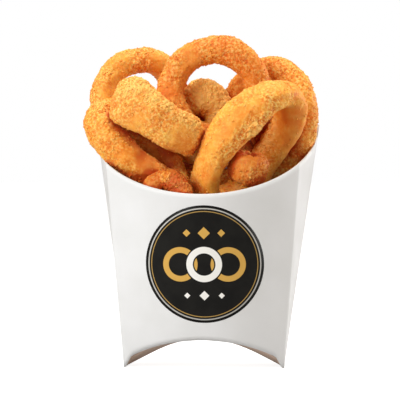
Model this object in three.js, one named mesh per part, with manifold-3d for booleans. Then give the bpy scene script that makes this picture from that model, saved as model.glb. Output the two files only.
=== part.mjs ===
// A side of battered onion rings standing in a folded paperboard scoop.
// Millimetres, +Z up, the scoop's front towards -Y. The origin is the middle of the
// whole part's footprint, on the surface that the scoop's two feet stand on.
import * as THREE from 'three';
import { mergeVertices } from 'three/addons/utils/BufferGeometryUtils.js';
import Module from 'manifold-3d';

const wasm = await Module();
wasm.setup();

// ---- driving dimensions: scoop ------------------------------------------------------
const BOARD = 0.6; // thickness of the paperboard
const FOOT_HALF_WIDTH = 43; // centre line to either foot
const FRONT_SPREAD = 0.075; // how fast the front creases part, per mm of height
const BACK_SPREAD = 0.145; // the same for the back creases
const FOOT_HALF_DEPTH = 11; // half the width of a side strip at its foot
const STRIP_GROWTH = 0.1; // added to that half width per mm of height
const FRONT_BOW = 12; // how far the front panel bows out at its foot
const FRONT_BOW_GROWTH = 0.09;
const BACK_BOW = 11;
const BACK_BOW_GROWTH = 0.06;

const CORNER_HEIGHT = 130.3; // where the front cut meets the back panel
const FRONT_DIP = 36.8; // depth of the elliptical cut in the front
const BACK_RISE = 11; // how far the back panel arches above the corners

const ARCH_HALF_SPAN = 42; // hollow under the base, between the feet
const ARCH_RISE = 15.2;
const ARCH_SHARPNESS = 1.1; // 1 is a cosine arch, more has straighter legs
const CREASE_LIFT = 1.15; // front and back base creases, above the base's keel
const TIP_LIFT = 3.7; // extra lift of those creases near the feet
const TIP_LIFT_FROM = 3; // distance from the centre line where it starts
const TIP_LIFT_FULL = 38;
const FOOT_CORNER_FROM = 38.2; // where the creases drop to the foot
const FOOT_CORNER_TO = 42.6;

const FRONT_STEPS = 14; // facets in half the front panel
const STRIP_STEPS = 3;
const BACK_STEPS = 12;
const HEIGHT_STEPS = 6;
const OUTLINE_STEPS = 2 * (FRONT_STEPS + STRIP_STEPS + BACK_STEPS);
const BODY_LOW = -4; // the uncut body reaches past both ends
const BODY_HIGH = 150;
const CUT_MARGIN = 40;

// ---- driving dimensions: round label on the front panel -------------------------------
const LABEL_RADIUS = 31;
const LABEL_CENTRE = [1.5, 56.7]; // x and height
const LABEL_THICKNESS = 0.3;
const LABEL_GAP = 0.5; // to the board behind it
const LABEL_RINGS = 4;
const LABEL_SIDES = 36;

// ---- driving dimensions: onion rings ---------------------------------------------------
const RING_SIDES = 28; // facets round the ring
const TUBE_SIDES = 10; // facets round its batter
const SQUARENESS = 2.4; // 2 is a round section, more is boxier
const RINGS = [
  // name, centre, the way its flat side faces, the way its long axis runs, half of the
  // centre line's length and width, half of the batter's thickness and height, bend, seed,
  // and where it has one, a crag: degrees round the ring, round the batter, width, and mm out
  { name: 'ring_back_left', centre: [-37, 24.2, 145], faces: [0.47, -1, 0.05], long: [1, 0, 0],
    half: [21.5, 21.8], batter: [7, 7], bend: 1.2, seed: 11 },
  { name: 'ring_top', centre: [5, 3.3, 147], faces: [0, -1, 0.05], long: [1, 0, 0],
    half: [24.2, 23.6], batter: [7.5, 7], bend: 1, seed: 12 },
  { name: 'ring_back_right', centre: [33.55, 23.2, 133.5], faces: [-0.42, -1, 0.05], long: [1, 0, 0],
    half: [21.3, 27], batter: [7, 7], bend: 1.2, seed: 13, crag: [34, 0, 40, 3.2] },
  { name: 'ring_front', centre: [23.6, -11.8, 117.8], faces: [0.64, -0.6, -0.48], long: [0.55, 0, 0.835],
    half: [35, 21], batter: [6.6, 9.3], bend: 1.2, seed: 14, crag: [68, 120, 24, 9] },
  { name: 'ring_middle', centre: [-24.5, -21.6, 131.8], faces: [0.46, 0, 0.88], long: [0.88, 0, -0.46],
    half: [20.5, 10], batter: [6, 10.2], bend: 1, seed: 15, crag: [231, 86, 50, 8.5] },
  { name: 'ring_left', centre: [-35.6, -6, 116.7], faces: [0.62, -0.5, 0.6], long: [0.737, 0.15, -0.676],
    half: [27, 15.2], batter: [7, 8], bend: 1.2, seed: 16, crag: [237, 145, 45, 5] },
  { name: 'ring_inner', centre: [-4.4, 16.8, 131], faces: [0, -1, 0.05], long: [1, 0, 0],
    half: [10.7, 13.7], batter: [8.8, 5.9], bend: 0.6, seed: 17, crag: [48, 20, 32, 5] },
  { name: 'ring_behind', centre: [-2.2, 32.2, 134], faces: [1, 0, 0.05], long: [0, 0.12, 1],
    half: [19, 4], batter: [3.6, 7.5], bend: 0.3, seed: 23 },
  { name: 'ring_right', centre: [24.2, -21.4, 106.6], faces: [0.22, -0.2, 1], long: [0, 1, 0],
    half: [6.2, 5.9], batter: [4.2, 8.1], bend: 0.5, seed: 18 },
  { name: 'ring_rim', centre: [-17.7, -28.9, 93], faces: [-0.2, -1, -0.1], long: [0.94, 0, -0.34],
    half: [8.7, 7.6], batter: [5.4, 5.1], bend: 0.5, seed: 19 },
  { name: 'ring_low_back', centre: [12.6, 24.4, 88], faces: [-0.1, -1, 0.16], long: [1, 0, 0],
    half: [9.9, 13.1], batter: [5.1, 5.8], bend: 0.8, seed: 20 },
  { name: 'ring_back_inner', centre: [30.4, 21.8, 132], faces: [1, 0.1, 0.05], long: [0, 0, 1],
    half: [12, 4.4], batter: [4, 6], bend: 0.3, seed: 21 },
  { name: 'ring_low_left', centre: [-22.5, 23, 97.2], faces: [0.3, -1, 0.16], long: [1, 0, 0],
    half: [13.5, 13.2], batter: [6.3, 6.3], bend: 0.8, seed: 22 },
];

// ---- helpers -------------------------------------------------------------------------------
const { lerp, smoothstep } = THREE.MathUtils;

/** Moves each vertex of a geometry to where shape(vertex) puts it. */
function reshape(geometry, shape) {
  const places = geometry.getAttribute('position');
  const vertex = new THREE.Vector3();
  for (let i = 0; i < places.count; i += 1) {
    vertex.fromBufferAttribute(places, i);
    shape(vertex);
    places.setXYZ(i, vertex.x, vertex.y, vertex.z);
  }
  return geometry;
}

/** A closed geometry with only its places left and its seams merged. */
function welded(geometry) {
  const bare = geometry.clone();
  bare.deleteAttribute('normal');
  bare.deleteAttribute('uv');
  return mergeVertices(bare, 1e-4);
}

function toSolid(geometry) {
  const closed = welded(geometry);
  return new wasm.Manifold(new wasm.Mesh({
    numProp: 3,
    vertProperties: new Float32Array(closed.getAttribute('position').array),
    triVerts: new Uint32Array(closed.index.array),
  }));
}

function toGeometry(solid) {
  const mesh = solid.getMesh();
  const geometry = new THREE.BufferGeometry();
  geometry.setAttribute('position', new THREE.BufferAttribute(mesh.vertProperties, 3));
  geometry.setIndex(new THREE.BufferAttribute(mesh.triVerts, 1));
  geometry.computeVertexNormals();
  return geometry;
}

/** Repeatable random numbers from 0 to 1. */
function randomFrom(seed) {
  let state = seed * 7919;
  return () => {
    state = (state * 16807 + 11) % 2147483647;
    return state / 2147483647;
  };
}

function named(name, geometry, material) {
  const mesh = new THREE.Mesh(geometry, material);
  mesh.name = name;
  return mesh;
}

// ---- scoop ---------------------------------------------------------------------------------
const stripHalfDepth = (z) => FOOT_HALF_DEPTH + STRIP_GROWTH * z;
const frontHalfWidth = (z) => FOOT_HALF_WIDTH + FRONT_SPREAD * z;
const backHalfWidth = (z) => FOOT_HALF_WIDTH + BACK_SPREAD * z;

/** Depth of the front panel's outer face at x and z. */
function frontFace(x, z) {
  const bow = FRONT_BOW + FRONT_BOW_GROWTH * z;
  return -(stripHalfDepth(z) + bow * (1 - (x / frontHalfWidth(z)) ** 2));
}

function backFace(x, z) {
  const bow = BACK_BOW + BACK_BOW_GROWTH * z;
  return stripHalfDepth(z) + bow * (1 - (x / backHalfWidth(z)) ** 2);
}

/** Outer outline at height z: step 0 is the front's middle, and it runs round by +X. */
function outlinePoint(step, z) {
  const turn = (step + OUTLINE_STEPS) % OUTLINE_STEPS;
  if (turn > OUTLINE_STEPS / 2) {
    const [x, y] = outlinePoint(OUTLINE_STEPS - turn, z);
    return [-x, y];
  }
  if (turn <= FRONT_STEPS) {
    const x = frontHalfWidth(z) * (turn / FRONT_STEPS);
    return [x, frontFace(x, z)];
  }
  if (turn <= FRONT_STEPS + STRIP_STEPS) {
    const along = (turn - FRONT_STEPS) / STRIP_STEPS;
    const x = lerp(frontHalfWidth(z), backHalfWidth(z), along);
    return [x, lerp(-stripHalfDepth(z), stripHalfDepth(z), along)];
  }
  const x = backHalfWidth(z) * (1 - (turn - FRONT_STEPS - STRIP_STEPS) / BACK_STEPS);
  return [x, backFace(x, z)];
}

/** The outline moved inwards by inset, with mitred corners. */
function insetPoint(step, z, inset) {
  const [x, y] = outlinePoint(step, z);
  const normals = [-1, 1].map((way) => {
    const [x2, y2] = outlinePoint(step + way, z);
    return new THREE.Vector2(y2 - y, x - x2).multiplyScalar(way).normalize();
  });
  const mitre = normals[0].clone().add(normals[1]);
  mitre.multiplyScalar(inset / (1 + normals[0].dot(normals[1])));
  return [x - mitre.x, y - mitre.y];
}

/** The scoop's flaring body as one closed solid, inset from its outer faces. */
function flaringBody(inset, low, high) {
  const body = new THREE.CylinderGeometry(1, 1, 1, OUTLINE_STEPS, HEIGHT_STEPS);
  body.rotateX(Math.PI / 2);
  return toSolid(reshape(body, (v) => {
    const z = lerp(low, high, v.z + 0.5);
    if (Math.hypot(v.x, v.y) < 0.5) {
      v.set(0, 0, z);
      return;
    }
    const step = Math.round((Math.atan2(v.x, -v.y) / (2 * Math.PI)) * OUTLINE_STEPS);
    const [x, y] = insetPoint(step, z, inset);
    v.set(x, y, z);
  }));
}

/** Underside of the base: an arch from foot to foot, with its creases above its keel. */
function baseHeight(x, y) {
  const across = Math.abs(x);
  if (across >= FOOT_CORNER_TO) return 0;
  const turn = (Math.min(1, across / ARCH_HALF_SPAN) * Math.PI) / 2;
  const arch = ARCH_RISE * Math.max(0, Math.cos(turn)) ** ARCH_SHARPNESS;
  const lift = CREASE_LIFT + TIP_LIFT * smoothstep(across, TIP_LIFT_FROM, TIP_LIFT_FULL);
  const corner = 1 - smoothstep(across, FOOT_CORNER_FROM, FOOT_CORNER_TO);
  const toCrease = Math.min(1, Math.abs(y) / Math.abs(y < 0 ? frontFace(across, 5) : backFace(across, 5)));
  return arch + lift * corner * toCrease ** 2;
}

/** A slab over the whole base whose underside and top follow the two height functions. */
function baseSlab(underside, top) {
  const slab = new THREE.BoxGeometry(2, 2, 1, 44, 10, 1);
  return toSolid(reshape(slab, (v) => {
    const reach = FOOT_HALF_WIDTH + 3;
    const x = Math.abs(v.x) > 0.99 ? Math.sign(v.x) * reach : FOOT_HALF_WIDTH * Math.sin((v.x * Math.PI) / 2);
    const y = v.y * reach * 0.7;
    v.set(x, y, v.z < 0 ? underside(x, y) : top(x, y));
  }));
}

/** Everything above a cut line seen from the front, from behind the part up to depth y. */
function cutAbove(line, nearY, farY) {
  const outline = new THREE.Shape(line);
  const block = new THREE.ExtrudeGeometry(outline, { depth: farY - nearY, bevelEnabled: false });
  block.rotateX(Math.PI / 2);
  block.translate(0, farY, 0);
  return toSolid(block);
}

/** The front's elliptical cut and the back's low arch, as lines from left to right. */
function rimLine(heightAt, steps) {
  const half = backHalfWidth(CORNER_HEIGHT);
  const line = [];
  for (let i = 0; i <= steps; i += 1) {
    const x = -half * Math.cos((i / steps) * Math.PI);
    line.push(new THREE.Vector2(x, heightAt(Math.min(1, Math.abs(x) / half))));
  }
  const top = BODY_HIGH + CUT_MARGIN;
  const wide = half + CUT_MARGIN;
  line.unshift(new THREE.Vector2(-wide, CORNER_HEIGHT));
  line.push(new THREE.Vector2(wide, CORNER_HEIGHT));
  line.push(new THREE.Vector2(wide, top), new THREE.Vector2(-wide, top));
  return line;
}

function makeScoop() {
  const outer = flaringBody(0, BODY_LOW, BODY_HIGH);
  const inner = flaringBody(BOARD, BODY_LOW - CUT_MARGIN, BODY_HIGH + CUT_MARGIN);
  const frontLine = rimLine((part) => CORNER_HEIGHT - FRONT_DIP * Math.sqrt(1 - part ** 2), 28);
  const backLine = rimLine((part) => CORNER_HEIGHT + BACK_RISE * (1 - part ** 2), 16);
  const corner = stripHalfDepth(CORNER_HEIGHT);
  const walls = outer.subtract(inner)
    .subtract(cutAbove(frontLine, -2 * CUT_MARGIN, corner))
    .subtract(cutAbove(backLine, -2 * CUT_MARGIN, 2 * CUT_MARGIN))
    .subtract(baseSlab(() => BODY_LOW - 1, baseHeight));
  const base = baseSlab(baseHeight, (x, y) => baseHeight(x, y) + BOARD).intersect(outer);
  return toGeometry(walls.add(base));
}

// ---- label ---------------------------------------------------------------------------------
/** A thin disc bent to the front panel's bow. */
function makeLabel() {
  const radii = Array.from({ length: LABEL_RINGS + 1 }, (_, i) => (LABEL_RADIUS * i) / LABEL_RINGS);
  const back = radii.map((radius) => new THREE.Vector2(radius, 0));
  const front = radii.map((radius) => new THREE.Vector2(radius, 1)).reverse();
  const profile = [...back, ...front];
  const disc = new THREE.LatheGeometry(profile, LABEL_SIDES);
  return reshape(disc, (v) => {
    const x = LABEL_CENTRE[0] + v.x;
    const z = LABEL_CENTRE[1] - v.z;
    const proud = LABEL_GAP + (v.y > 0.5 ? LABEL_THICKNESS : 0);
    v.set(x, frontFace(x, z) - proud, z);
  });
}

// ---- onion rings -----------------------------------------------------------------------------
/** Lumps in the batter: a few seeded waves that close on themselves both ways round. */
function lumps(seed) {
  const random = randomFrom(seed);
  const waves = [];
  for (let round = 2; round <= 7; round += 1) {
    const over = Math.floor(random() * 3) - 1;
    waves.push({ round, over, phase: random() * 2 * Math.PI, size: (0.5 + random()) / (1 + 0.35 * round) });
  }
  return (u, v) => waves.reduce((sum, w) => sum + w.size * Math.sin(w.round * u + w.over * v + w.phase), 0);
}

/** How far a rounded crag stands out at u round the ring and v round the batter. */
function cragAt([round, over, width, high], u, v) {
  const apart = (angle, degrees) => {
    const turn = angle - THREE.MathUtils.degToRad(degrees);
    return Math.atan2(Math.sin(turn), Math.cos(turn)) / THREE.MathUtils.degToRad(width);
  };
  return high * Math.exp(-(apart(u, round) ** 2) - apart(v, over) ** 2);
}

function makeRing(ring) {
  const [length, width] = ring.half;
  const [thick, tall] = ring.batter;
  const lumpAt = lumps(ring.seed);
  const tube = new THREE.TorusGeometry(2, 1, TUBE_SIDES, RING_SIDES);
  const power = 2 / SQUARENESS;
  const round = (value) => Math.sign(value) * Math.abs(value) ** power;
  reshape(tube, (p) => {
    const u = Math.atan2(p.y, p.x);
    const v = Math.atan2(p.z, Math.hypot(p.x, p.y) - 2);
    const swell = 1 + 0.09 * lumpAt(u, v);
    const crag = ring.crag ? cragAt(ring.crag, u, v) : 0;
    const out = thick * swell * round(Math.cos(v)) + crag * Math.cos(v);
    const up = tall * swell * round(Math.sin(v)) + crag * Math.sin(v);
    const wave = ring.bend * Math.sin(2 * u + ring.seed);
    p.set((length + out) * Math.cos(u), (width + out) * Math.sin(u), up + wave);
  });
  return tube;
}

/** Turns a ring made flat on the ground so that it faces and runs as its entry says. */
function place(mesh, ring) {
  const faces = new THREE.Vector3(...ring.faces).normalize();
  const side = new THREE.Vector3().crossVectors(faces, new THREE.Vector3(...ring.long)).normalize();
  const long = new THREE.Vector3().crossVectors(side, faces);
  mesh.quaternion.setFromRotationMatrix(new THREE.Matrix4().makeBasis(long, side, faces));
  mesh.position.set(...ring.centre);
  return mesh;
}

// ---- the part --------------------------------------------------------------------------------
const paperboard = new THREE.MeshStandardMaterial({ color: 0xf1efec, roughness: 0.6, metalness: 0 });
const labelInk = new THREE.MeshStandardMaterial({ color: 0x1c1b1a, roughness: 0.5, metalness: 0 });
const batter = new THREE.MeshStandardMaterial({ color: 0xdf9440, roughness: 0.75, metalness: 0 });

const standing = new THREE.Group();
standing.add(named('scoop', makeScoop(), paperboard));
standing.add(named('label', makeLabel(), labelInk));
for (const ring of RINGS) standing.add(place(named(ring.name, makeRing(ring), batter), ring));

const footprint = new THREE.Box3().setFromObject(standing, true);
const middle = footprint.getCenter(new THREE.Vector3());
standing.position.set(-middle.x, -middle.y, -footprint.min.z);

const part = new THREE.Group();
part.add(standing);

export default part;
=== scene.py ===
import math
import random

import bmesh
import bpy
from mathutils import Matrix, Vector, bvhtree, noise


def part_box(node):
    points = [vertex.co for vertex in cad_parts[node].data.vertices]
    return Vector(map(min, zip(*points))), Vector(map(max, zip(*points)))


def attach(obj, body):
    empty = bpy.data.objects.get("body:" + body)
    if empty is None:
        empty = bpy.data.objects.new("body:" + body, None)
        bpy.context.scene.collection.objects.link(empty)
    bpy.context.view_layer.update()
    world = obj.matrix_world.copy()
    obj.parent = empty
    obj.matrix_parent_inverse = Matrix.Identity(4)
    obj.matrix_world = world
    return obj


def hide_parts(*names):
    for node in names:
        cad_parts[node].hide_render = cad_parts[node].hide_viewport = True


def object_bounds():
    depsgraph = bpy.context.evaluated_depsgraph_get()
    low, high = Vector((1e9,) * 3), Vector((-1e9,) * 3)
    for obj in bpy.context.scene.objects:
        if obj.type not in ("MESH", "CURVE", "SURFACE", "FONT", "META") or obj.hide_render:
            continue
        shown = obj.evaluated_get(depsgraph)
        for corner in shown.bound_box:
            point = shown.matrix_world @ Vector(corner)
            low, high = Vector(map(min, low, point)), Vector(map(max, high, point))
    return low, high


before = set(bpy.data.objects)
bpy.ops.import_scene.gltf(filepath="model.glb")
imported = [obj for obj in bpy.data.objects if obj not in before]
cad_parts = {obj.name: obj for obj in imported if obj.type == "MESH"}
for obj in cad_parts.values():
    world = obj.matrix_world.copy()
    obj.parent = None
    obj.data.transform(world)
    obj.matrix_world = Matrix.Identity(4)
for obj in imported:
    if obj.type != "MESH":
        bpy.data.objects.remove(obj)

cad_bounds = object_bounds()
MM = 0.001

# ---- the scoop's measures, in mm ----------------------------------------------------------------
# Spread and growth are what each side gains per mm of height.
FOOT_HALF_WIDTH, FOOT_HALF_DEPTH = 43.0, 11.0
FRONT_SPREAD, BACK_SPREAD, STRIP_GROWTH = 0.075, 0.145, 0.1
FRONT_BOW, FRONT_BOW_GROWTH = 12.0, 0.09
BACK_BOW, BACK_BOW_GROWTH = 11.0, 0.06
CORNER_HEIGHT, FRONT_DIP, BACK_RISE = 130.3, 36.8, 11.0
ARCH_HALF_SPAN, ARCH_RISE, ARCH_SHARPNESS = 42.0, 15.2, 1.1
CREASE_LIFT, TIP_LIFT, TIP_LIFT_FROM, TIP_LIFT_FULL = 1.15, 3.7, 3.0, 38.0
FOOT_CORNER_FROM, FOOT_CORNER_TO = 38.2, 42.6
BOARD = 0.6  # thickness
LABEL_CENTRE, LABEL_RADIUS = (1.5, 56.7), 31.0

scoop_low, scoop_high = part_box("scoop")
lip_height = CORNER_HEIGHT - FRONT_DIP
front_reach = FOOT_HALF_DEPTH + FRONT_BOW + (STRIP_GROWTH + FRONT_BOW_GROWTH) * lip_height
SCOOP = Vector(((scoop_low.x + scoop_high.x) / 2, scoop_low.y + front_reach * MM, 0.0))

RINGS = sorted(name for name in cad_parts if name.startswith("ring_"))


def place(x, y, z):
    """A point given in millimetres from the middle of the scoop's foot, in the frame."""
    return SCOOP + Vector((x, y, z)) * MM


def add_object(name, mesh, *materials):
    piece = bpy.data.objects.new(name, mesh)
    bpy.context.scene.collection.objects.link(piece)
    for material in materials:
        mesh.materials.append(material)
    return piece


def mesh_from(name, bm, smooth=True):
    bmesh.ops.recalc_face_normals(bm, faces=bm.faces)
    for face in bm.faces:
        face.smooth = smooth
    mesh = bpy.data.meshes.new(name)
    bm.to_mesh(mesh)
    bm.free()
    return mesh


def clamp(value):
    return min(1.0, max(0.0, value))


def smoothstep(value, low, high):
    t = clamp((value - low) / (high - low))
    return t * t * (3 - 2 * t)


def keep_inside(verts):
    """Holds every vertex inside the part's own box."""
    low, high = cad_bounds
    for vert in verts:
        for axis in range(3):
            vert.co[axis] = min(high[axis], max(low[axis], vert.co[axis]))


# ---- material helpers ---------------------------------------------------------------------------
class Nodes:
    """Adds nodes to one tree. A value given for a socket is a number, a colour or a link."""

    def __init__(self, tree):
        self.tree = tree

    def put(self, socket, value):
        if isinstance(value, bpy.types.NodeSocket):
            self.tree.links.new(value, socket)
        else:
            socket.default_value = value

    def feed(self, node, **sockets):
        """Fills a node's inputs by name, with _ for each space."""
        for key, value in sockets.items():
            self.put(node.inputs[key.replace("_", " ")], value)

    def add(self, kind, settings=None, **sockets):
        node = self.tree.nodes.new(kind)
        for key, value in (settings or {}).items():
            setattr(node, key, value)
        self.feed(node, **sockets)
        return node

    def group(self, tree, **sockets):
        return self.add("ShaderNodeGroup", {"node_tree": tree}, **sockets)

    def math(self, operation, *values):
        node = self.add("ShaderNodeMath", {"operation": operation})
        for socket, value in zip(node.inputs, values):
            self.put(socket, value)
        return node.outputs[0]

    def mix(self, factor, a, b):
        """Two colours mixed. Inputs 6 and 7 and output 2 are the node's colour sockets."""
        node = self.add("ShaderNodeMix", {"data_type": "RGBA"})
        for i, value in ((0, factor), (6, a), (7, b)):
            self.put(node.inputs[i], value)
        return node.outputs[2]

    def span(self, value, low, high, to_low=0.0, to_high=1.0):
        """The value taken smoothly from one range to another."""
        node = self.add("ShaderNodeMapRange", {"interpolation_type": "SMOOTHSTEP"})
        for socket, number in zip(node.inputs, (value, low, high, to_low, to_high)):
            self.put(socket, number)
        return node.outputs[0]

    def noise(self, where, size_mm, detail=2.0, roughness=0.5):
        return self.add("ShaderNodeTexNoise", Vector=where, Scale=1000.0 / size_mm, Detail=detail,
                        Roughness=roughness).outputs[0]

    def cells(self, where, size_mm):
        """How far a point is from the middle of its cell."""
        return self.add("ShaderNodeTexVoronoi", Vector=where,
                        Scale=1000.0 / size_mm).outputs["Distance"]

    def bump(self, height, strength, depth_mm):
        return self.add("ShaderNodeBump", Height=height, Strength=strength,
                        Distance=depth_mm * MM).outputs[0]

    def place(self):
        return self.add("ShaderNodeTexCoord").outputs["Object"]

    def seen(self):
        """1 where the camera looks straight at a surface, 0 for its light on other things."""
        return self.add("ShaderNodeLightPath").outputs["Is Camera Ray"]


def rgb(red, green, blue):
    """A colour given as screen values from 0 to 255."""
    def linear(value):
        value /= 255
        return value / 12.92 if value <= 0.04045 else ((value + 0.055) / 1.055) ** 2.4
    return (linear(red), linear(green), linear(blue), 1.0)


FINISH = [("Colour", "Color"), ("Roughness", "Float"), ("Height", "Float")]
MOST_NOISE = (0.3, 0.7)  # the range that nearly all of a noise lies in


def new_group(name, inputs, outputs):
    """A shader group, its nodes, the sockets that come in and the node they go out by."""
    group = bpy.data.node_groups.new(name, "ShaderNodeTree")
    for label, kind, default in inputs:
        socket = group.interface.new_socket(label, in_out="INPUT", socket_type="NodeSocket" + kind)
        if default is not None:
            socket.default_value = default
    for label, kind in outputs:
        group.interface.new_socket(label, in_out="OUTPUT", socket_type="NodeSocket" + kind)
    n = Nodes(group)
    entry, out = n.add("NodeGroupInput"), n.add("NodeGroupOutput")
    return group, n, [entry.outputs[label] for label, _, _ in inputs], out


def new_material(name):
    material = bpy.data.materials.new(name)
    material.use_nodes = True
    tree = material.node_tree
    return material, Nodes(tree), tree.nodes["Principled BSDF"]


# ---- fried crust --------------------------------------------------------------------------------
LAYERS = ("relief", "tone", "grain")
BROAD_SIZE, PATCH_SIZE, GRAIN_SIZE = 17.0, 5.0, 1.3  # mm
GOLDEN, PALER_GOLDEN = rgb(241, 148, 46), rgb(247, 170, 64)

# Colours over the golden batter, in the order that they go on: the value that brings each out,
# where it starts and where it is full, how much of it there is then, and the colour.
CRUST_COATS = [("patch", 0.5, 0.7, 0.5, rgb(232, 122, 26)),
               ("patch", 0.48, 0.3, 0.5, rgb(253, 198, 96)),
               # painted shade in the crust's pits and painted highlight on its crests, by how far
               # it stands out
               ("relief", 0.45, 0.1, 0.6, rgb(218, 100, 16)),
               ("relief", 0.55, 1.0, 0.7, rgb(255, 214, 120)),
               # painted highlight on the raised grains and painted shade in the low ones, where the
               # bump follows grain
               ("grain", 0.5, 0.62, 0.7, rgb(255, 210, 124)),
               ("grain", 0.5, 0.38, 0.6, rgb(222, 102, 18)),
               ("speck", 0.7, 0.95, 0.25, rgb(196, 84, 14)),
               # the ring's own fry tone, taken darker where shade is painted in by shelter and down
               # gaps
               ("tone", 0.5, 1.0, 0.9, rgb(255, 206, 114)),
               ("tone", 0.5, 0.0, 0.9, rgb(190, 66, 8))]
BROAD_RANGE, SPECK_DEPTH, CRUST_ROUGHNESS = (0.36, 0.64), 0.5, (0.55, 0.8)
CRUST_BUMP, CRUST_SHINE = 0.7, 0.25  # the bump in mm
SHEEN_WEIGHT, SHEEN_ROUGHNESS, SHEEN_TINT = 0.12, 0.4, rgb(255, 214, 144)
GLOW_REACH = (1.0, 0.45, 0.15)  # how far red, green and blue light go in, against each other


def crust_group():
    """Colour, roughness and fine relief of fried batter, from how far a point stands out.
    Its colour holds painted highlight on what stands out and painted shade in what sinks.
    """
    group, n, (where, relief, tone, grainy), out = new_group(
        "fried_crust", [("Place", "Vector", None), ("Relief", "Float", 0.5),
                        ("Tone", "Float", 0.5), ("Grain", "Float", 1.0)], FINISH)
    broad = n.noise(where, BROAD_SIZE, detail=1.0)
    patch = n.noise(where, PATCH_SIZE, detail=3.0, roughness=0.6)
    grain = n.noise(where, GRAIN_SIZE, detail=2.0, roughness=0.6)
    speck = n.cells(where, GRAIN_SIZE)
    values = {"patch": patch, "relief": relief, "grain": grain, "speck": speck, "tone": tone}
    colour = n.mix(n.span(broad, *BROAD_RANGE), GOLDEN, PALER_GOLDEN)
    for value, start, full, most, coat in CRUST_COATS:
        amount = n.span(values[value], start, full, 0.0, most)
        if value in ("grain", "speck"):
            amount = n.math("MULTIPLY", amount, grainy)
        colour = n.mix(amount, colour, coat)
    fine = n.math("SUBTRACT", grain, n.math("MULTIPLY", speck, SPECK_DEPTH))
    n.feed(out, Colour=colour, Roughness=n.span(grain, *MOST_NOISE, *CRUST_ROUGHNESS),
           Height=n.math("MULTIPLY", fine, grainy))
    return group


def crust_material(name, group, glow, depth, bumpy, dull):
    """Fried batter. Light goes into it by glow and depth in mm, and dull scales its roughness."""
    material, n, shader = new_material(name)
    where = n.place()
    relief, tone, grain = (n.add("ShaderNodeAttribute", {"attribute_name": key}).outputs["Fac"]
                           for key in LAYERS)
    coat = n.group(group, Place=where, Relief=relief, Tone=tone, Grain=grain)
    n.feed(shader, Base_Color=coat.outputs["Colour"],
           Roughness=n.math("MULTIPLY", coat.outputs["Roughness"], dull),
           Normal=n.bump(coat.outputs["Height"], bumpy, CRUST_BUMP), Specular_IOR_Level=CRUST_SHINE,
           Subsurface_Weight=glow, Subsurface_Radius=GLOW_REACH, Subsurface_Scale=depth * MM,
           Sheen_Weight=SHEEN_WEIGHT, Sheen_Roughness=SHEEN_ROUGHNESS, Sheen_Tint=SHEEN_TINT)
    return material


# ---- relief of the crust ------------------------------------------------------------------------
# How pale each ring is fried, where 0.5 is plain golden and less is darker, and how grainy it is.
PLAIN_TONE, PLAIN_GRAIN = 0.44, 1.0
# ring_inner is set paler partly as painted light, making up for the shade that ring_top casts on it
TONES = {"ring_back_left": 0.6, "ring_top": 0.33, "ring_back_right": 0.56, "ring_middle": 0.6,
         "ring_left": 0.5, "ring_front": 0.55, "ring_inner": 0.95, "ring_behind": 0.74,
         "ring_right": 0.26, "ring_rim": 0.24}
GRAINS = {"ring_left": 0.8, "ring_front": 0.62, "ring_middle": 0.95}

# Where the crust is flaky and pale, smooth and dark, grainier, a little browner, or given painted
# shade down a gap: x, y, z and reach in mm.
FLAKY = [(-41, -32, 149, 8), (-33, -34, 151, 8), (-25, -36, 144, 6), (-17, -36, 140, 5),
         (-9, -33, 135, 6), (-3, -29, 128, 7), (-6, 13, 152, 7), (1, 11, 151, 7), (9, 13, 148, 7),
         (28, -34, 127, 6), (29, 2, 118, 7), (33, 2, 124, 9), (36, 1, 131, 7), (-56, -13, 140, 8),
         (-19, -34, 103, 4)]
SMOOTH = [(-30, -24, 111, 8), (-27, -24, 106, 6), (46, -13, 135, 12), (50, -3, 122, 12)]
GRAINY = [(36, -33, 140, 8), (30, -34, 133, 9), (24, -34, 125, 8), (15, -35, 118, 8)]
# a little browner; the last place is painted shade low between the left ring and the front ring
BROWNER_AND_SHADED = [(13, -33, 113, 9), (8, -32, 104, 10), (-33, -25, 117, 8), (-12, -34, 101, 9)]
# painted shade down the gaps between rings
SHADED_GAPS = [(-38, 1, 123, 9), (-31, 1, 118, 10), (-24, 0, 112, 10), (-18, -1, 105, 10)]
FLAKY_PALER, FLAKY_MOTTLE, SMOOTH_DARKER, SHADED_GAPS_DARKER, BROWNER_AND_SHADED_DARKER = 0.18, 0.3, 0.25, 0.25, 0.12
FLAKY_GRAIN, SMOOTH_GRAIN, GRAINY_GRAIN = 0.2, -0.75, 1.2  # what each place adds to the grain

# Sizes and heights in mm of what stands out of the crust, from broad lumps to grains.
LUMPS = ((7.5, 0.55), (3.6, 0.4))
CELL_SIZE, FINE_SIZE, FINE_HEIGHT, FINE_SHIFT = 1.9, 1.0, 0.45, Vector((3.1, 0.4, 7.7))
SHRED_SIZE, SHRED_HEIGHT, FLAKY_MOTTLE_SIZE = 2.3, 0.7, 1.9
LUMP_LEVEL, GRAIN_LEVEL = 0.35, 1.1  # what lumps and grains add to the level
# The crust is crumbly in broad patches. It has the least grain between them, and more in them.
CRUMBLY_SIZE, CRUMBLY_SHIFT = 13.0, Vector((5.2, 1.7, 9.1))
CRUMBLY_FROM, CRUMBLY_FULL, LEAST_GRAIN, CRUMBLY_GRAIN = -0.45, 0.1, 0.35, 0.65
ZONE_CORE = 0.5  # the share of a spot's reach that is all inside it


def zone(p, spots):
    """1 in the core of any of the spots, fading to 0 at its reach."""
    return max(1 - smoothstep((p - Vector((x, y, z))).length / reach, ZONE_CORE, 1.0)
               for x, y, z, reach in spots)


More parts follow.
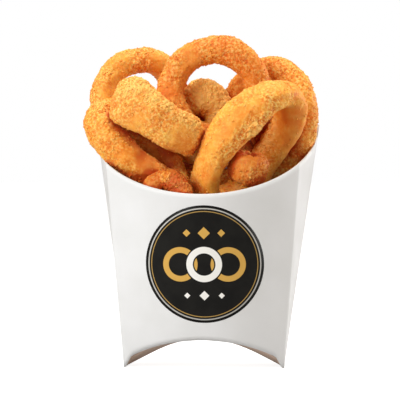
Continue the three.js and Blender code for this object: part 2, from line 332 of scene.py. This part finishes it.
def crust_relief(p, grainy):
    """What the crust is like at a point p, in mm from the scoop.

    Gives how far it stands out in mm, the same as a level from 0 to 1, how grainy it is, how
    much paler than its ring (less where shade is painted down gaps), and how flaky.
    """
    patch = noise.noise(p / CRUMBLY_SIZE + CRUMBLY_SHIFT)
    crumbly = smoothstep(patch, CRUMBLY_FROM, CRUMBLY_FULL)
    flaky, smooth = zone(p, FLAKY), zone(p, SMOOTH)
    # painted shade down the gaps, and the browner places, the last of which is painted shade too
    darker = SHADED_GAPS_DARKER * zone(p, SHADED_GAPS) + BROWNER_AND_SHADED_DARKER * zone(p, BROWNER_AND_SHADED)
    lumps = sum(height * noise.noise(p / size) for size, height in LUMPS)
    cell = noise.voronoi(p / CELL_SIZE)[0][0]
    fine = noise.voronoi(p / FINE_SIZE + FINE_SHIFT)[0][0]
    grains = (0.5 - cell) + (0.5 - fine) * FINE_HEIGHT
    grainy *= ((LEAST_GRAIN + CRUMBLY_GRAIN * crumbly) * (1 + SMOOTH_GRAIN * smooth)
               * (1 + FLAKY_GRAIN * flaky) * (1 + GRAINY_GRAIN * zone(p, GRAINY)))
    ragged = flaky * SHRED_HEIGHT * (0.5 - abs(noise.noise(p / SHRED_SIZE)) * 2)
    mottle = FLAKY_MOTTLE * noise.noise(p / FLAKY_MOTTLE_SIZE)
    paler = flaky * (FLAKY_PALER + mottle) - SMOOTH_DARKER * smooth - darker
    level = clamp(0.5 + LUMP_LEVEL * lumps + GRAIN_LEVEL * grains * grainy)
    return lumps + grains * grainy + ragged, level, grainy, paler, flaky


# ---- shelter ------------------------------------------------------------------------------------
# How much of the sky over a place its neighbours shut off is tried with short rays from a little
# above it, in mm. Past the share that is free, shelter darkens the crust as painted shade, but
# less where flaky.
SHELTER_RAYS, SHELTER_REACH, SHELTER_START, GRAZING = 96, 14.0, 0.8, 0.1
SHELTER_FREE, SHELTER_PAINTED_SHADE, FLAKY_SPARED = 0.25, 1.35, 0.7


def everything_around():
    bm = bmesh.new()
    for name in RINGS + ["scoop"]:
        bm.from_mesh(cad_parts[name].data)
    tree = bvhtree.BVHTree.FromBMesh(bm)
    bm.free()
    return tree


def ray_ways():
    """Directions spread evenly over a sphere."""
    golden_turn = math.pi * (3 - math.sqrt(5))
    for i in range(SHELTER_RAYS):
        up = 1 - 2 * (i + 0.5) / SHELTER_RAYS
        flat = math.sqrt(1 - up * up)
        yield Vector((flat * math.cos(golden_turn * i), flat * math.sin(golden_turn * i), up))


def shelter_at(spot, normal, around, ways):
    """0 in the open, 1 where neighbours close in on all sides."""
    start = spot + normal * SHELTER_START * MM
    shut = total = 0.0
    for way in ways:
        facing = way.dot(normal)
        if facing > GRAZING:
            total += facing
            if around.ray_cast(start, way, SHELTER_REACH * MM)[0]:
                shut += facing
    return shut / total


# ---- rings --------------------------------------------------------------------------------------
SUBDIVISIONS = 3
SHRINK_BACK = 0.42  # mm that smoothing takes off the batter, put on before it
FACET_WELD = 0.01  # mm within which vertices are one


def smooth_copy(node, around, ways):
    """The node's facets joined to four-sided faces and rounded off, with its shelter."""
    bm = bmesh.new()
    bm.from_mesh(node.data)
    bmesh.ops.remove_doubles(bm, verts=bm.verts, dist=FACET_WELD * MM)
    bmesh.ops.join_triangles(bm, faces=bm.faces, angle_face_threshold=math.pi,
                             angle_shape_threshold=math.pi)
    bmesh.ops.recalc_face_normals(bm, faces=bm.faces)
    bm.normal_update()
    shelter = bm.verts.layers.float.new("shelter")
    for vert in bm.verts:
        vert[shelter] = shelter_at(vert.co, vert.normal, around, ways)
    for vert, push in [(v, v.normal * SHRINK_BACK * MM) for v in bm.verts]:
        vert.co += push
    rough = add_object("rough_" + node.name, mesh_from("rough", bm))
    rounding = rough.modifiers.new("round", "SUBSURF")
    rounding.levels = rounding.render_levels = SUBDIVISIONS
    bpy.context.view_layer.update()
    evaluated = rough.evaluated_get(bpy.context.evaluated_depsgraph_get())
    mesh = bpy.data.meshes.new_from_object(evaluated)
    bpy.data.objects.remove(rough)
    return mesh


def make_ring(node, around, ways, material):
    """One ring of batter. Gives a spot for crumbs for each of its faces."""
    mesh = smooth_copy(node, around, ways)
    bm = bmesh.new()
    bm.from_mesh(mesh)
    bpy.data.meshes.remove(mesh)
    bm.normal_update()
    for key in LAYERS:
        bm.verts.layers.float.new(key)
    relief, tone, grain, shelter = (bm.verts.layers.float[key] for key in LAYERS + ("shelter",))
    ring_tone = TONES.get(node.name, PLAIN_TONE)
    ring_grain = GRAINS.get(node.name, PLAIN_GRAIN)
    moves = []
    for vert in bm.verts:
        out, vert[relief], vert[grain], paler, flaky = crust_relief(
            (vert.co - SCOOP) / MM, ring_grain)
        # painted shade: the crust is darkened where its neighbours shut off the sky
        hidden = max(0.0, vert[shelter] - SHELTER_FREE)
        paler -= SHELTER_PAINTED_SHADE * hidden * (1 - FLAKY_SPARED * flaky)
        vert[tone] = clamp(ring_tone + paler)
        moves.append((vert, vert.normal * out * MM))
    for vert, move in moves:
        vert.co += move
    keep_inside(bm.verts)
    bm.normal_update()
    spots = [(face.calc_center_median(), face.normal.copy(),
              face.calc_area() * face.verts[0][grain], face.verts[0][tone]) for face in bm.faces]
    piece_name = "crust_" + node.name.removeprefix("ring_")
    ring = add_object(piece_name, mesh_from(node.name + "_crust", bm), material)
    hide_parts(node.name)
    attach(ring, "root")
    return spots


# ---- crumbs -------------------------------------------------------------------------------------
# Sizes are half lengths in mm, stretch is along, across and through, lift is how far the middle
# stands off the crust as a share of the size, and tone is what is added to the crust's own.
ROUNDISH = ((0.8, 1.3), (0.7, 1.1), (0.5, 0.9))
LONG_AND_THIN = ((1.0, 1.8), (0.5, 0.9), (0.2, 0.35))
COARSE = {"count": 7000, "seed": 41, "smooth": True,
          "sizes": (0.3, 0.75), "stretch": ROUNDISH, "lift": 0.2, "tone": 0.06}
FINE = {"count": 9500, "seed": 42, "smooth": True,
        "sizes": (0.22, 0.45), "stretch": ROUNDISH, "lift": 0.2, "tone": 0.1}
FLAKE = {"count": 1500, "seed": 43, "smooth": False,
         "sizes": (0.5, 1.0), "stretch": LONG_AND_THIN, "lift": 0.15, "tone": 0.1}
CRUMB_TILT, CRUMB_TURN, CRUMB_TONE_SPREAD = 0.4, 6.283, 0.1  # the first two in radians
CRUMB_RELIEF, CRUMB_GRAIN = 0.6, 0.5
LUMPINESS, LUMPS_PER_METRE, LUMPS_SEED = 0.35, 1400, 44  # lumpiness is a share of the size
FLAKY_ENOUGH = 0.3  # how flaky the crust is where flakes lie on it
BATCH = 250  # crumbs made in one mesh before they are joined, which keeps each step quick


def add_crumb(bm, layers, spot, kind, draw):
    """One lumpy crumb or flake pressed into the crust at a spot, a little off its tone."""
    centre, normal, _, crust_tone = spot
    small, large = kind["sizes"]
    size = small + (large - small) * draw.random() ** 2
    spin = Matrix.Rotation(draw.uniform(0, CRUMB_TURN), 4, "Z")
    tip = Matrix.Rotation(draw.gauss(0, CRUMB_TILT), 4, "X")
    stretch = Matrix.Diagonal([draw.uniform(*span) for span in kind["stretch"]] + [1])
    upright = normal.to_track_quat("Z", "Y").to_matrix().to_4x4()
    middle = Matrix.Translation(centre + normal * size * kind["lift"] * MM)
    made = bmesh.ops.create_icosphere(bm, subdivisions=1, radius=size * MM,
                                      matrix=middle @ upright @ (spin @ tip) @ stretch)
    crumb_tone = clamp(draw.gauss(crust_tone + kind["tone"], CRUMB_TONE_SPREAD))
    for vert in made["verts"]:
        vert.co += noise.noise_vector(vert.co * LUMPS_PER_METRE) * size * LUMPINESS * MM
        vert[layers["tone"]] = crumb_tone
        vert[layers["relief"]] = CRUMB_RELIEF
        vert[layers["grain"]] = CRUMB_GRAIN
    keep_inside(made["verts"])


def make_crumbs(name, spots, kind, material):
    """Crumbs strewn over the spots, more of them where the crust is grainy."""
    draw = random.Random(kind["seed"])
    chosen = draw.choices(spots, weights=[spot[2] for spot in spots], k=kind["count"])
    whole = bmesh.new()
    for start in range(0, kind["count"], BATCH):
        bm = bmesh.new()
        layers = {key: bm.verts.layers.float.new(key) for key in LAYERS}
        for spot in chosen[start:start + BATCH]:
            add_crumb(bm, layers, spot, kind, draw)
        batch = mesh_from("batch", bm)
        whole.from_mesh(batch)
        bpy.data.meshes.remove(batch)
    crumbs = add_object(name, mesh_from(name, whole, kind["smooth"]), material)
    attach(crumbs, "root")


def make_food():
    crust = crust_group()
    batter = crust_material("fried_batter", crust, glow=0.35, depth=2.0, bumpy=0.5, dull=0.9)
    crumb = crust_material("fried_crumbs", crust, glow=0.0, depth=0.4, bumpy=0.1, dull=0.85)
    around, ways = everything_around(), list(ray_ways())
    spots = []
    for name in RINGS:
        spots += make_ring(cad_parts[name], around, ways, batter)
    flaky_spots = [spot for spot in spots if zone((spot[0] - SCOOP) / MM, FLAKY) > FLAKY_ENOUGH]
    noise.seed_set(LUMPS_SEED)  # without it the crumbs' lumps change from run to run
    make_crumbs("crumbs_coarse", spots, COARSE, crumb)
    make_crumbs("crumbs_fine", spots, FINE, crumb)
    make_crumbs("flakes", flaky_spots, FLAKE, crumb)


# ---- scoop --------------------------------------------------------------------------------------
PANEL_COLUMNS, PANEL_ROWS = {"front": 56, "right": 10, "left": 10, "back": 40}, 30
LOWEST_RIM, HIGHEST_RIM, RIM_HALVINGS = 60.0, 150.0, 30  # where the rim is looked for
FOOT_GUESS, FOOT_ROUNDS = 6.0, 6
BASE_LEVEL = 5  # mm up, where the base's depth is taken
BOARD_WELD = 0.05  # mm within which vertices of two panels are one
CREASE_ANGLE, CREASE_ROUND = 25, 0.7  # degrees and mm
BASE_COLUMNS, BASE_ROWS = 60, 16
BASE_END_GAP, BASE_TUCK, BASE_GAP = 0.1, 0.6, 0.05  # the tuck is in thicknesses of board
WAVE_SIZE, TOOTH_SIZE, TOOTH_HEIGHT = 22.0, 0.5, 0.08
BOARD_BUMP, BOARD_SHINE, BOARD_ROUGHNESS = 0.3, 0.3, (0.42, 0.55)
BOARD_WHITE, BOARD_PALER = rgb(225, 225, 226), rgb(230, 230, 232)
# the base's underside is tinted tan
CREAM, UNDERSIDE_TAN = rgb(226, 214, 196), rgb(214, 172, 142)


def strip_half_depth(z):
    return FOOT_HALF_DEPTH + STRIP_GROWTH * z


def front_half_width(z):
    return FOOT_HALF_WIDTH + FRONT_SPREAD * z


def back_half_width(z):
    return FOOT_HALF_WIDTH + BACK_SPREAD * z


def front_face(x, z):
    bow = (FRONT_BOW + FRONT_BOW_GROWTH * z) * (1 - (x / front_half_width(z)) ** 2)
    return -(strip_half_depth(z) + bow)


def back_face(x, z):
    bow = (BACK_BOW + BACK_BOW_GROWTH * z) * (1 - (x / back_half_width(z)) ** 2)
    return strip_half_depth(z) + bow


def base_height(x, y):
    """Underside of the base: an arch between the feet with its creases above its keel."""
    across = abs(x)
    if across >= FOOT_CORNER_TO:
        return 0.0
    fall = max(0.0, math.cos(min(1, across / ARCH_HALF_SPAN) * math.pi / 2))
    lift = CREASE_LIFT + TIP_LIFT * smoothstep(across, TIP_LIFT_FROM, TIP_LIFT_FULL)
    corner = 1 - smoothstep(across, FOOT_CORNER_FROM, FOOT_CORNER_TO)
    face = front_face(across, BASE_LEVEL) if y < 0 else back_face(across, BASE_LEVEL)
    return ARCH_RISE * fall ** ARCH_SHARPNESS + lift * corner * min(1.0, abs(y / face)) ** 2


def on_wall(panel, along, z):
    """x and y of the outer face. Along is -1 to 1 over the front or back, 0 to 1 over a side."""
    front_half, back_half = front_half_width(z), back_half_width(z)
    if panel == "front":
        return along * front_half, front_face(along * front_half, z)
    if panel == "back":
        return along * back_half, back_face(along * back_half, z)
    side = 1 if panel == "right" else -1
    depth = strip_half_depth(z)
    return side * (front_half + (back_half - front_half) * along), -depth + 2 * depth * along


def rim_height(panel, along):
    """Where a wall's column meets the rim: the front's elliptical cut or the back's arch."""
    half = back_half_width(CORNER_HEIGHT)
    low, high = LOWEST_RIM, HIGHEST_RIM
    for _ in range(RIM_HALVINGS):
        z = (low + high) / 2
        part = min(1.0, abs(on_wall(panel, along, z)[0]) / half)
        if panel == "back":
            rim = CORNER_HEIGHT + BACK_RISE * (1 - part ** 2)
        else:
            rim = CORNER_HEIGHT - FRONT_DIP * math.sqrt(1 - part ** 2)
        low, high = (z, high) if z < rim else (low, z)
    return z


def foot_height(panel, along):
    """Where a wall's column meets the base."""
    z = FOOT_GUESS
    for _ in range(FOOT_ROUNDS):
        z = base_height(*on_wall(panel, along, z))
    return z


def add_panel(bm, panel, columns):
    grid = bmesh.ops.create_grid(bm, x_segments=columns, y_segments=PANEL_ROWS, size=1)
    for vert in grid["verts"]:
        along = vert.co.x if panel in ("front", "back") else (vert.co.x + 1) / 2
        low, high = foot_height(panel, along), rim_height(panel, along)
        z = low + (high - low) * (vert.co.y + 1) / 2
        x, y = on_wall(panel, along, z)
        vert.co = place(x, y, z)


def board_group():
    """White coated board with a faint mottle, long soft waves and a fine tooth."""
    group, n, (where, shade, tint), out = new_group(
        "coated_board", [("Place", "Vector", None), ("Shade", "Float", 0.0),
                         ("Tint", "Color", None)], FINISH)
    waves = n.noise(where, WAVE_SIZE, detail=3.0)
    tooth = n.noise(where, TOOTH_SIZE)
    colour = n.mix(n.span(waves, *MOST_NOISE), BOARD_WHITE, BOARD_PALER)
    n.feed(out, Colour=n.mix(shade, colour, tint),
           Roughness=n.span(waves, *MOST_NOISE, *BOARD_ROUGHNESS),
           Height=n.math("ADD", n.math("MULTIPLY", tooth, TOOTH_HEIGHT), waves))
    return group


def board_material(name, group, shade, tint, bumpy):
    """Board with a share of a tint over its white."""
    material, n, shader = new_material(name)
    board = n.group(group, Place=n.place(), Shade=shade, Tint=tint)
    n.feed(shader, Base_Color=board.outputs["Colour"], Roughness=board.outputs["Roughness"],
           Normal=n.bump(board.outputs["Height"], bumpy, BOARD_BUMP),
           Specular_IOR_Level=BOARD_SHINE)
    return material


def make_walls(outside, inside, edge):
    bm = bmesh.new()
    for panel, columns in PANEL_COLUMNS.items():
        add_panel(bm, panel, columns)
    bmesh.ops.remove_doubles(bm, verts=bm.verts, dist=BOARD_WELD * MM)
    bmesh.ops.recalc_face_normals(bm, faces=bm.faces)
    creases = [e for e in bm.edges
               if len(e.link_faces) == 2 and e.calc_face_angle() > math.radians(CREASE_ANGLE)]
    bmesh.ops.bevel(bm, geom=creases, offset=CREASE_ROUND * MM, segments=3, profile=0.5,
                    affect="EDGES", material=-1)
    walls = add_object("scoop_walls", mesh_from("scoop_walls", bm), outside, inside, edge)
    thick = walls.modifiers.new("board", "SOLIDIFY")
    thick.thickness, thick.offset, thick.use_even_offset = BOARD * MM, -1, True
    thick.material_offset, thick.material_offset_rim = 1, 2
    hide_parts("scoop")
    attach(walls, "root")


def make_base(underside):
    bm = bmesh.new()
    grid = bmesh.ops.create_grid(bm, x_segments=BASE_COLUMNS, y_segments=BASE_ROWS, size=1)
    for vert in grid["verts"]:
        x = (FOOT_CORNER_TO - BASE_END_GAP) * math.sin(vert.co.x * math.pi / 2)
        z = base_height(x, 0)
        front, back = front_face(x, z) + BOARD * BASE_TUCK, back_face(x, z) - BOARD * BASE_TUCK
        y = front + (back - front) * (vert.co.y + 1) / 2
        vert.co = place(x, y, base_height(x, y) + BASE_GAP)
    base = add_object("scoop_base", mesh_from("scoop_base", bm), underside)
    thick = base.modifiers.new("board", "SOLIDIFY")
    thick.thickness, thick.offset = BOARD * MM, 1
    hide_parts("scoop")
    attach(base, "root")


def make_scoop():
    board = board_group()
    make_walls(board_material("board_outside", board, shade=0.0, tint=CREAM, bumpy=0.25),
               board_material("board_inside", board, shade=0.25, tint=CREAM, bumpy=0.25),
               board_material("board_edge", board, shade=1.0, tint=CREAM, bumpy=0.1))
    make_base(board_material("board_underside", board, shade=0.7, tint=UNDERSIDE_TAN, bumpy=0.25))


# ---- label --------------------------------------------------------------------------------------
LABEL_SEGMENTS, LABEL_LOOPS = 128, 10
LABEL_PROUD, INK = 0.06, 0.05  # mm off the board, and the ink's thickness
INK_MOTTLE_SIZE, INK_PATCH_SIZE, INK_SHINE, INK_ROUGHNESS = 9.0, 4.0, 0.15, (0.4, 0.5)
CIRCLE_EDGE, LOZENGE_EDGE = (0.12, -0.12), (1.05, 0.95)  # soft, from outside to inside
WHITE, GOLD, SILVER = rgb(244, 242, 238), rgb(214, 168, 84), rgb(196, 194, 190)
BRONZE, DARK = rgb(186, 150, 84), rgb(21, 20, 19)
BLACK_INK, WORN_INK = rgb(17, 16, 15), rgb(25, 24, 22)
# Circles in the order they are printed: the middle's place across, radius, half width, colour.
CIRCLES = [(0, 29.3, 0.3, SILVER), (0, 27.8, 0.2, BRONZE), (-12.5, 7.6, 1.5, GOLD),
           (12.5, 7.6, 1.5, GOLD), (0, 7.6, 2.4, DARK), (0, 7.6, 1.7, WHITE)]
# Lozenges above and below the circles: the middle's place across, and half the upper one's width.
LOZENGES = [(-9, 2.0), (0, 3.2), (9, 2.0)]
LOZENGE_HEIGHT, LOWER_SIZE = 16.5, 0.8


def band_group():
    """1 on a circle of a given radius and half width, 0 off it. All in mm."""
    group, n, (x, z, centre_x, radius, half), out = new_group(
        "ring_band", [("X", "Float", 0.0), ("Z", "Float", 0.0), ("Centre X", "Float", 0.0),
                      ("Radius", "Float", 5.0), ("Half width", "Float", 1.0)],
        [("Mask", "Float")])
    dx = n.math("SUBTRACT", x, centre_x)
    far = n.math("SQRT", n.math("ADD", n.math("MULTIPLY", dx, dx), n.math("MULTIPLY", z, z)))
    off = n.math("SUBTRACT", n.math("ABSOLUTE", n.math("SUBTRACT", far, radius)), half)
    n.feed(out, Mask=n.span(off, *CIRCLE_EDGE))
    return group


def label_material():
    material, n, shader = new_material("label_print")
    where = n.place()
    split = n.add("ShaderNodeSeparateXYZ", Vector=where)
    middle = place(LABEL_CENTRE[0], 0, LABEL_CENTRE[1])
    x = n.math("MULTIPLY", n.math("SUBTRACT", split.outputs["X"], middle.x), 1000)
    z = n.math("MULTIPLY", n.math("SUBTRACT", split.outputs["Z"], middle.z), 1000)
    band = band_group()

    def lozenge(centre_x, centre_z, half):
        dx = n.math("DIVIDE", n.math("ABSOLUTE", n.math("SUBTRACT", x, centre_x)), half)
        dz = n.math("DIVIDE", n.math("ABSOLUTE", n.math("SUBTRACT", z, centre_z)), half)
        return n.span(n.math("ADD", dx, dz), *LOZENGE_EDGE)

    mottle, patch = n.noise(where, INK_MOTTLE_SIZE), n.noise(where, INK_PATCH_SIZE)
    colour = n.mix(n.span(mottle, *MOST_NOISE), BLACK_INK, WORN_INK)
    for centre, radius, half, ink in CIRCLES:
        circle = n.group(band, X=x, Z=z, Centre_X=centre, Radius=radius, Half_width=half)
        colour = n.mix(circle.outputs["Mask"], colour, ink)
    for centre, half in LOZENGES:
        colour = n.mix(lozenge(centre, LOZENGE_HEIGHT, half), colour, GOLD)
        colour = n.mix(lozenge(centre, -LOZENGE_HEIGHT, half * LOWER_SIZE), colour, WHITE)
    n.feed(shader, Base_Color=colour, Roughness=n.span(patch, *MOST_NOISE, *INK_ROUGHNESS),
           Specular_IOR_Level=INK_SHINE)
    return material


def make_label():
    bm = bmesh.new()
    bmesh.ops.create_circle(bm, cap_ends=True, segments=LABEL_SEGMENTS, radius=LABEL_RADIUS)
    for _ in range(LABEL_LOOPS):
        inner = max(bm.faces, key=lambda face: len(face.verts))
        bmesh.ops.inset_individual(bm, faces=[inner], thickness=LABEL_RADIUS / (LABEL_LOOPS + 1),
                                   use_even_offset=True)
    for vert in bm.verts:
        x, z = LABEL_CENTRE[0] + vert.co.x, LABEL_CENTRE[1] + vert.co.y
        vert.co = place(x, front_face(x, z) - LABEL_PROUD, z)
    label = add_object("label_skin", mesh_from("label_skin", bm), label_material())
    thick = label.modifiers.new("ink", "SOLIDIFY")
    thick.thickness, thick.offset = INK * MM, 1
    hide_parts("label")
    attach(label, "root")


# ---- floor, light and camera --------------------------------------------------------------------
AZIMUTH, ELEVATION, DISTANCE, MM_PER_PIXEL, PIXELS = 3.5, 1.5, 900.0, 0.54, 400
AIM, SENSOR = (-2.7, 0, 89.4), 36.0  # mm
CLIP_START, CLIP_END = 0.05, 30
FLOOR_HALF, FLOOR_COLOUR, FLOOR_SEEN = 6, rgb(188, 188, 188), (0.85, 0.85, 0.85, 1)
BLACK, SKY_SEEN, SKY_LIGHT = (0, 0, 0, 1), (1, 1, 1, 1), (0.54, 0.5, 0.44, 1)
LIGHTS_AIM = Vector((0, 0, 0.08))
# Each light's name, width, power, place and colour.
LIGHTS = [("key", 0.8, 10.5, (-0.75, -0.75, 0.64), (0.96, 0.99, 1.0)),
          ("rim", 0.6, 9.5, (1.2, 0.48, 0.36), (1.0, 1.0, 1.0)),
          ("top", 0.5, 7.5, (0.1, 0.0, 1.2), (1.0, 0.97, 0.92))]


def make_camera():
    turn, tilt = math.radians(AZIMUTH), math.radians(ELEVATION)
    view_from = Vector((math.sin(turn) * math.cos(tilt), -math.cos(turn) * math.cos(tilt),
                        math.sin(tilt)))
    camera = bpy.data.objects.new("camera", bpy.data.cameras.new("camera"))
    camera.data.sensor_width = SENSOR
    camera.data.lens = SENSOR * DISTANCE / (MM_PER_PIXEL * PIXELS)
    camera.data.clip_start, camera.data.clip_end = CLIP_START, CLIP_END
    camera.location = place(*AIM) + view_from * DISTANCE * MM
    camera.rotation_euler = (-view_from).to_track_quat("-Z", "Y").to_euler()
    bpy.context.scene.collection.objects.link(camera)
    bpy.context.scene.camera = camera


def make_floor():
    bm = bmesh.new()
    bmesh.ops.create_grid(bm, x_segments=2, y_segments=2, size=FLOOR_HALF)
    material, n, shader = new_material("studio_floor")
    n.feed(shader, Base_Color=FLOOR_COLOUR, Emission_Color=n.mix(n.seen(), BLACK, FLOOR_SEEN),
           Emission_Strength=1.0, Roughness=0.9, Specular_IOR_Level=0.1)
    floor = add_object("studio_floor", mesh_from("studio_floor", bm), material)


def add_light(name, size, power, where, colour):
    light = bpy.data.objects.new(name, bpy.data.lights.new(name, "AREA"))
    light.data.shape, light.data.size = "DISK", size
    light.data.energy, light.data.color = power, colour
    light.location = where
    light.rotation_euler = (LIGHTS_AIM - light.location).to_track_quat("-Z", "Y").to_euler()
    bpy.context.scene.collection.objects.link(light)


def make_world():
    world = bpy.data.worlds.new("studio")
    world.use_nodes = True
    n = Nodes(world.node_tree)
    n.feed(world.node_tree.nodes["Background"], Color=n.mix(n.seen(), SKY_LIGHT, SKY_SEEN),
           Strength=1.0)
    bpy.context.scene.world = world
    bpy.context.scene.view_settings.view_transform = "Standard"


make_food()
make_scoop()
make_label()
make_camera()
make_floor()
for light_facts in LIGHTS:
    add_light(*light_facts)
make_world()
